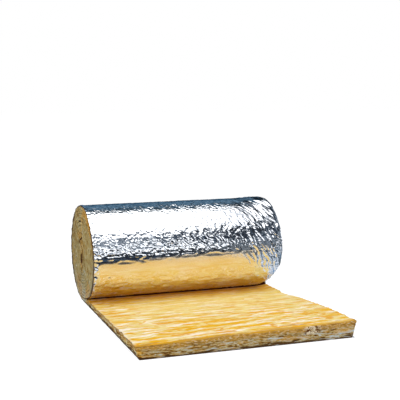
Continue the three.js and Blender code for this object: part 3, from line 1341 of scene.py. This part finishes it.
@dataclass
class FoilFacing:
    """The aluminium facing: one crinkled sheet under the tail, round the roll and between turns."""

    mat: Mat
    settling: Settling
    cell_across: float = 0.0043
    cell_round: float = 0.0054
    stand_off: float = 0.0024
    eye_recess: float = 0.018
    eye_recess_turns: Span = (2.2, 1.4)
    join_gap: float = 0.02
    tail_rows: int = 40
    hidden_spacing: float = 0.010
    hidden_columns: tuple[float, ...] = (-1.0, -0.97, -0.6, 0.0, 0.6, 0.97, 1.0)
    top_angle: float = math.radians(170.0)
    slack_turn: float = math.radians(3.4)
    wrinkle_lines: tuple[tuple[float, int], ...] = ((291.0, 173), (297.0, 187), (302.0, 193),
                                                    (308.0, 181))
    wrinkle_width: float = 0.034
    wrinkle_height: float = 0.0050
    frayed_line: Grain = Grain(101, 0.05, height=0.0022, octaves=3)
    wandering_line: Grain = Grain(103, 0.4, height=0.0015)
    other_edge: float = 30.0
    warp_across: Grain = Grain(109, 0.065, 0.060)
    warp_round: Grain = Grain(113, 0.060, 0.065)
    swells: Grain = Grain(127, 0.16, 0.10, 0.0008)
    fold_slopes: tuple[float, float, float] = (0.8, 0.9, 0.2)
    fold_bend: float = 0.6
    falling_folds: Grain = Grain(131, 0.029, 0.100, 0.0016)
    rising_folds: Grain = Grain(137, 0.026, 0.085, 0.0014)
    small_folds: Grain = Grain(139, 0.030, 0.060, 0.0009)
    end_folds: Grain = Grain(149, 0.030, 0.16)
    fine_end_folds: Grain = Grain(163, 0.016, 0.085)
    end_fold_height: float = 0.0054
    end_fold_gain: float = 0.0018
    fine_end_fold_height: float = 0.0023
    fine_end_fold_gain: float = 0.0020
    bends: Grain = Grain(109, 0.070, 0.060, 0.5)
    draws: Grain = Grain(151, 0.12, 0.024, mean=0.0)
    fraying: Grain = Grain(157, 0.024, 0.020, octaves=2)
    draft: MeshDraft = field(default_factory=MeshDraft)

    def build(self) -> bpy.types.Object:
        """Build the facing.

        Returns:
            The finished piece.
        """
        mat, coarse = self.mat, np.array(self.hidden_columns)
        run = np.linspace(mat.cut_end, mat.centre - self.join_gap, self.tail_rows)
        flat = np.stack([run, np.zeros_like(run)], axis=-1)
        tail = self._rows(flat, coarse, np.zeros(len(run)), run - mat.cut_end, crinkled=False)
        fine = np.linspace(-1.0, 1.0, round(mat.width / self.cell_across) + 1)
        shown_angles = mat.angles(0.0, mat.nip, self.cell_round)
        shown = self._rows(mat.point(shown_angles), fine, shown_angles,
                           self._distance(shown_angles), crinkled=True)
        hidden_angles = mat.angles(mat.nip, mat.last_angle, self.hidden_spacing)[1:]
        hidden = self._rows(mat.point(hidden_angles), coarse, hidden_angles,
                            self._distance(hidden_angles), crinkled=False)
        self.draft.add_grid(tail, 0)
        self.draft.zip_rows(tail[-1], shown[0], 0)
        self.draft.add_grid(shown, 0)
        self.draft.zip_rows(shown[-1], hidden[0], 0)
        self.draft.add_grid(hidden, 0)
        return self.draft.to_object("foil_facing_surface", self.settling.apply)

    def dress(self, piece: bpy.types.Object) -> None:
        """Give the piece its finish and its place in the frame.

        Args:
            piece: The built facing.
        """
        nip_at, top_at = self._distance(np.array([self.mat.nip, self.top_angle])).tolist()
        piece.data.materials.append(BrightFoil(nip_at, top_at).material())
        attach(piece, "root")
        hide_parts("foil_facing")

    def _distance(self, angles: Array) -> Array:
        """Return the distance along the mat of winding angles, close enough for the finish."""
        mean_radius = 0.5 * (self.mat.roll_radius + self.mat.radius(angles))
        return self.mat.tail_length + mean_radius * angles

    def _rows(self, section: Array, columns: Array, angles: Array, along: Array,
              crinkled: bool) -> Array:
        """Sweep rows of points across the mat.

        Args:
            section: One (y, z) for each row.
            columns: Where the points lie across the mat, from -1 to 1.
            angles: Each row's winding angle.
            along: Each row's distance along the mat.
            crinkled: Whether the sheet's relief is made.

        Returns:
            A rectangle of point indices.
        """
        mat, shape = self.mat, (len(section), len(columns))
        side = np.broadcast_to(columns, shape)
        run, angle = (np.broadcast_to(part[:, None], shape) for part in (along, angles))
        edge = self._edge_line(run, np.sign(side))
        start, whole = (mat.last_angle - turns * FULL_TURN for turns in self.eye_recess_turns)
        recess = self.eye_recess * smoothstep(angle, start, whole)
        x = side * (mat.half_width - recess + edge * np.abs(side) ** 8)
        place = np.broadcast_to(section[:, None, :], (*shape, 2))
        if crinkled:
            place = place - self._relief(x, run, angle)[..., None] * mat.towards_eye(angle)
        points = np.concatenate([x[..., None], place], axis=-1).reshape(-1, 3)
        swell = self._looseness(x, angle).ravel()
        return self.draft.add_points(points, run.ravel(), 0.0, swell).reshape(shape)

    def _edge_line(self, run: Array, side: Array) -> Array:
        """Return how far the sheet's trimmed edge wanders from its straight line."""
        offset = self.other_edge * side
        return self.frayed_line.line(run, offset) + self.wandering_line.line(run, offset)

    def _near_start(self, x: Array) -> Array:
        """Return 1 at the sheet's -X edge and 0 a little inside it."""
        return smoothstep(x, 0.040 - self.mat.half_width, 0.012 - self.mat.half_width)

    def _slackened(self, x: Array, angle: Array) -> Array:
        """Return winding angles, less towards -X, where the loose sheet reaches farther down."""
        return angle - self.slack_turn * smoothstep(x, 0.10, -0.45)

    def _looseness(self, x: Array, angle: Array) -> Array:
        """Find how crumpled the sheet is.

        Args:
            x: Places along the roll.
            angle: Winding angles.

        Returns:
            1 where the sheet is loose, down to near 0 where the tail draws it tight.
        """
        half = self.mat.half_width
        low_front = turned(self._slackened(x, angle), 269, 256)
        low_front = low_front * (1.0 - 0.45 * smoothstep(x, half - 0.40, half - 0.08)
                                 - 0.15 * smoothstep(x, 0.50 - half, 0.10 - half))
        near_end = 0.7 * smoothstep(x, half - 0.22, half - 0.03)
        return 0.04 + 0.96 * np.maximum(low_front, np.maximum(near_end, self._near_start(x)))

    def _crumple(self, x: Array, run: Array) -> Array:
        """Find the sheet's all-over crumpled relief.

        Args:
            x: Places along the roll.
            run: Distances along the mat.

        Returns:
            Its height.
        """
        across, around = self.warp_across.at(x, run), self.warp_round.at(x, run)
        fall, rise, lean = self.fold_slopes
        return (self.swells.at(x, run)
                + self.falling_folds.ridges(run + fall * x, x - fall * run, self.fold_bend * across)
                + self.rising_folds.ridges(run - rise * x, x + rise * run, self.fold_bend * around)
                + self.small_folds.ridges(x + lean * run, run, around, across))

    def _end_folds(self, x: Array, run: Array, angle: Array, bend: Array, near_end: Array,
                   high: Array) -> Array:
        """Find the slanting folds that the +X end draws into the sheet.

        Args:
            x: Places along the roll.
            run: Distances along the mat.
            angle: Winding angles.
            bend: How each fold wanders.
            near_end: 1 at the +X end, fading to 0.
            high: 1 on the upper front, where the folds stand taller.

        Returns:
            Their height.
        """
        over_top = run - self._distance(np.array(self.top_angle))
        slant = x - 0.90 * over_top + 0.45 * over_top**2
        folds = self.end_folds.ridges(slant, run, bend)
        finer = self.fine_end_folds.ridges(slant, run, 2.0 * bend)
        calmer = 1.0 - 0.50 * turned(angle, 262, 284)
        tall = self.end_fold_height + self.end_fold_gain * high
        fine = self.fine_end_fold_height + self.fine_end_fold_gain * high
        return near_end * (tall * calmer * folds + fine * finer)

    def _wrinkles(self, x: Array, angle: Array) -> Array:
        """Find the broken wrinkles that run along the roll above the nip.

        Args:
            x: Places along the roll.
            angle: Winding angles.

        Returns:
            Their height, up to about 1.
        """
        total = np.zeros_like(x)
        for line, seed in self.wrinkle_lines:
            wave = (Grain(seed, 0.13, height=0.055).line(x)
                    + Grain(seed + 2, 0.045, height=0.045).line(x))
            ridge = np.exp(-(((angle - math.radians(line) - wave) / self.wrinkle_width) ** 2))
            broken = Grain(seed + 5, 0.06, height=1.4).line(x)
            total += ridge * np.clip(0.5 + broken, 0.0, 1.2)
        return total

    def _relief(self, x: Array, run: Array, angle: Array) -> Array:
        """Find how far the crinkled sheet stands out of the roll's plain surface.

        Args:
            x: Places along the roll.
            run: Distances along the mat.
            angle: Winding angles.

        Returns:
            The distances outwards.
        """
        half = self.mat.half_width
        high = turned(angle, 250, 205)
        near_end = smoothstep(x, half - 0.38 + 0.13 * high, half - 0.06)
        smooth = between(angle, (190, 204), (227, 239)) * (1.0 - near_end)
        bulge = between(self._slackened(x, angle), (246, 258), (266, 274))
        torn = between(angle, (269, 279), (303, 316))
        bend = self.bends.at(x, run)
        draws, frayed = self.draws.ridges(x, run, bend), self.fraying.at(x, run)
        crumple = self._crumple(x, run) * self._looseness(x, angle) * (1.0 - 0.5 * near_end)
        crumple = crumple * (1.0 - 0.55 * smooth) * (1.0 - 0.40 * bulge)
        lift = (crumple + self._end_folds(x, run, angle, bend, near_end, high)
                + (0.0018 * turned(angle, 283, 300) + 0.0017 * bulge) * draws
                + self.wrinkle_height * self._wrinkles(x, angle)
                + (0.0036 + 0.0040 * torn) * self._near_start(x) * frayed)
        pressed = turned(angle, 4, 28)
        free = pressed * turned(angle, 339, 322)
        return np.maximum(self.stand_off * free + pressed * lift, -0.0004 * pressed)


# ------------------------------------------------------------------------------ the studio


class BoardSide(Enum):
    """Which side of the object a reflection board stands on, as degrees round from the front."""

    FRONT = 0.0
    RIGHT = 90.0
    BACK = 180.0
    LEFT = 270.0


@dataclass(frozen=True)
class ReflectionBoard:
    """A board that only mirrored rays see, shaded from its foot to its top.

    Its near edge stands on the floor, and lean lays it back, to flat on the floor at 90 degrees.
    """

    name: str
    side: BoardSide
    distance: float
    height: float
    width: float
    shift: float
    shades: tuple[tuple[float, Colour], ...]
    lean: float = 0.0
    foot: float = 0.001
    bounce_glow: Colour = (1.5, 1.5, 1.5)

    def stand(self) -> None:
        """Build the board and stand it in the studio."""
        left, right = self.shift - self.width / 2, self.shift + self.width / 2
        board = add_panel(self.name, [(left, 0.0, 0.0), (right, 0.0, 0.0),
                                      (right, 0.0, self.height), (left, 0.0, self.height)])
        turn = Matrix.Rotation(math.radians(self.side.value), 4, "Z")
        tip = Matrix.Rotation(math.radians(self.lean), 4, "X")
        board.matrix_world = turn @ Matrix.Translation((0.0, -self.distance, self.foot)) @ tip
        board.data.materials.append(self._material())
        board.visible_camera = False
        board.visible_diffuse = False
        board.visible_shadow = False
        board.visible_transmission = False

    def _material(self) -> bpy.types.Material:
        """Make the board's glow, which changes with height and is plain in dull bounces.

        Returns:
            The finished material.
        """
        sketch = NodeSketch(bpy.data.materials.new(self.name))
        _, _, up = sketch.axes(sketch.place())
        colour = sketch.ramp(sketch.math("DIVIDE", up, self.height), *self.shades)
        bounces = sketch.signal("LightPath", "Diffuse Depth")
        colour = sketch.mix(sketch.math("GREATER_THAN", bounces, 0.5), colour, self.bounce_glow)
        return sketch.finish(sketch.node("Emission", Color=colour, Strength=1.0))


@dataclass
class Studio:
    """Pale floor, one big overhead softbox, and the boards that the foil mirrors."""

    camera_place: tuple[float, float, float] = (-1.85214838, -4.97356388, 1.4557866)
    camera_yaw: float = math.radians(20.32779656)
    camera_pitch: float = math.radians(8.54017056)
    camera_roll: float = math.radians(0.49202344)
    camera_lens: float = 83.616
    camera_sensor: float = 36.0
    softbox_place: tuple[float, float, float] = (-0.2, -1.25, 3.3)
    softbox_size: Span = (5.0, 5.4)
    softbox_power: float = 137.0
    fill_level: float = 0.52
    floor_size: float = 40.0
    floor_drop: float = 0.0006
    floor_paint: Colour = (0.80, 0.80, 0.80)
    floor_seen: Colour = (0.26, 0.26, 0.26)
    floor_glow: float = 0.87
    mirrored_dimming: float = 0.32
    white: Colour = (1.0, 1.0, 1.0)

    def build(self) -> None:
        """Set up the whole studio."""
        bpy.context.scene.view_settings.view_transform = "Standard"
        self._place_camera()
        self._light_world()
        self._lay_floor()
        self._hang_softbox()
        for board in self._boards():
            board.stand()

    def _place_camera(self) -> None:
        """Place the camera."""
        yaw, pitch, roll = self.camera_yaw, self.camera_pitch, self.camera_roll
        forward = Vector((math.sin(yaw) * math.cos(pitch), math.cos(yaw) * math.cos(pitch),
                          -math.sin(pitch)))
        level = Vector((math.cos(yaw), -math.sin(yaw), 0.0))
        upright = level.cross(forward)
        right = level * math.cos(roll) + upright * math.sin(roll)
        up = upright * math.cos(roll) - level * math.sin(roll)
        data = bpy.data.cameras.new("camera")
        data.lens = self.camera_lens
        data.sensor_width = self.camera_sensor
        data.sensor_fit = "HORIZONTAL"
        camera = add_object("camera", data)
        turn = Matrix((right, up, -forward)).transposed().to_4x4()
        camera.matrix_world = Matrix.Translation(self.camera_place) @ turn
        bpy.context.scene.camera = camera

    def _seen_rays(self, sketch: NodeSketch) -> Signal:
        """Tell rays that show the studio itself from rays that light the object.

        Args:
            sketch: The material or world that asks.

        Returns:
            1 for rays that show the studio, and 0 for the others.
        """
        seen, mirrored, clear = (sketch.signal("LightPath", f"Is {kind} Ray")
                                 for kind in ("Camera", "Glossy", "Transmission"))
        return seen.at_least(mirrored).at_least(clear)

    def _light_world(self) -> None:
        """Make the world white to look at and a plain fill to be lit by."""
        world = bpy.data.worlds.new("world")
        bpy.context.scene.world = world
        sketch = NodeSketch(world)
        strength = self.fill_level + self._seen_rays(sketch) * (1.0 - self.fill_level)
        sketch.finish(sketch.node("Background", Color=self.white, Strength=strength))

    def _lay_floor(self) -> None:
        """Lay the pale floor just under the object."""
        half = self.floor_size / 2
        floor = add_panel("floor", [(-half, -half, 0), (half, -half, 0), (half, half, 0),
                                    (-half, half, 0)])
        floor.location = (0.0, 0.0, -self.floor_drop)
        sketch = NodeSketch(bpy.data.materials.new("floor"))
        seen = self._seen_rays(sketch)
        paint = sketch.signal("BsdfDiffuse",
                              Color=sketch.mix(seen, self.floor_paint, self.floor_seen))
        mirrored = sketch.signal("LightPath", "Is Glossy Ray")
        level = self.floor_glow - mirrored * self.mirrored_dimming
        glow = sketch.signal("Emission", Color=self.white, Strength=seen * level)
        floor.data.materials.append(sketch.finish(sketch.node("AddShader", i0=paint, i1=glow)))

    def _hang_softbox(self) -> None:
        """Hang the softbox overhead, a little behind the object."""
        data = bpy.data.lights.new("softbox", "AREA")
        data.shape = "RECTANGLE"
        data.size, data.size_y = self.softbox_size
        data.energy = self.softbox_power
        add_object("softbox", data).location = self.softbox_place

    def _boards(self) -> list[ReflectionBoard]:
        """Shade the boards that the foil mirrors.

        Returns:
            The boards, not yet built.
        """
        night, steel, pale = (0.018, 0.022, 0.03), (0.04, 0.06, 0.09), (1.35, 1.39, 1.46)
        stone, lead = (0.18, 0.20, 0.22), (0.080, 0.095, 0.110)
        dusk, blue = (0.035, 0.08, 0.125), (0.14, 0.23, 0.34)
        slate, haze = (0.10, 0.13, 0.16), (0.11, 0.145, 0.19)
        sky, mist, silver = (0.20, 0.33, 0.52), (0.24, 0.28, 0.33), (0.70, 0.74, 0.80)
        navy, bay, lake, fjord = ((0.026, 0.080, 0.145), (0.16, 0.28, 0.40), (0.14, 0.24, 0.34),
                                  (0.045, 0.090, 0.140))
        soot, smoke, dawn = (0.030, 0.042, 0.050), (0.07, 0.10, 0.125), (0.26, 0.37, 0.44)
        front, front_distance, front_height = BoardSide.FRONT, 0.96, 2.3
        return [
            ReflectionBoard(
                "front_right_board", front, front_distance, front_height, 4.0, 2.68,
                ((0.0, pale), (0.021, pale), (0.030, lead), (0.10, lead), (0.13, stone),
                 (0.23, stone), (0.27, haze), (0.31, slate), (0.40, slate), (0.46, night),
                 (0.93, night), (0.98, pale))),
            ReflectionBoard(
                "front_board", front, front_distance, front_height, 0.53, 0.415,
                ((0.0, pale), (0.028, pale), (0.036, lead), (0.12, lead), (0.15, night),
                 (0.235, night), (0.255, pale), (0.44, pale), (0.47, haze), (0.56, steel),
                 (0.93, steel), (0.99, pale))),
            ReflectionBoard(
                "front_left_board", front, front_distance, front_height, 2.85, -1.275,
                ((0.0, steel), (0.11, steel), (0.13, night), (0.275, night), (0.293, pale),
                 (0.43, pale), (0.46, mist), (1.0, mist))),
            ReflectionBoard(
                "back_board", BoardSide.BACK, 2.60, 4.3, 8.0, -1.4,
                ((0.0, dusk), (0.31, navy), (0.38, bay), (0.45, lake), (0.52, fjord),
                 (0.68, soot), (0.86, smoke), (1.0, dawn)), -18.0),
            ReflectionBoard(
                "right_board", BoardSide.RIGHT, 1.25, 3.4, 2.5, 0.05,
                ((0.0, blue), (0.025, blue), (0.035, silver), (0.045, silver), (0.055, steel),
                 (0.115, steel), (0.125, pale), (0.145, pale), (0.155, steel), (0.24, mist),
                 (0.28, mist), (0.30, steel), (0.52, night), (0.58, slate), (0.61, mist),
                 (0.66, silver), (0.77, silver), (0.83, pale))),
            ReflectionBoard(
                "right_floor_board", BoardSide.RIGHT, 0.66, 0.58, 3.2, 0.6,
                ((0.0, sky), (0.09, sky), (0.12, pale), (0.14, pale), (0.18, steel),
                 (0.28, blue), (0.35, pale), (0.40, steel), (0.60, slate), (1.0, slate)), 90.0),
            ReflectionBoard(
                "left_board", BoardSide.LEFT, 2.6, 2.6, 5.0, -0.5,
                ((0.0, steel), (0.3, pale), (0.5, steel), (1.0, pale))),
        ]


# ------------------------------------------------------------------------------ the scene


def note_size(label: str, piece: bpy.types.Object) -> None:
    """Report a finished piece by its faces and its size."""
    log.info("%s: %d faces, %s m", label, len(piece.data.polygons),
             " x ".join(f"{side:.3f}" for side in piece.dimensions))


def main() -> None:
    """Build the object and its studio."""
    logging.basicConfig(level=logging.INFO, format="%(message)s")
    mat = Mat()
    settling = Settling(mat)
    for label, part in (("wool mat", WoolMat(mat, settling)),
                        ("foil facing", FoilFacing(mat, settling))):
        piece = part.build()
        part.dress(piece)
        note_size(label, piece)
    Studio().build()


if __name__ == "__main__":
    main()
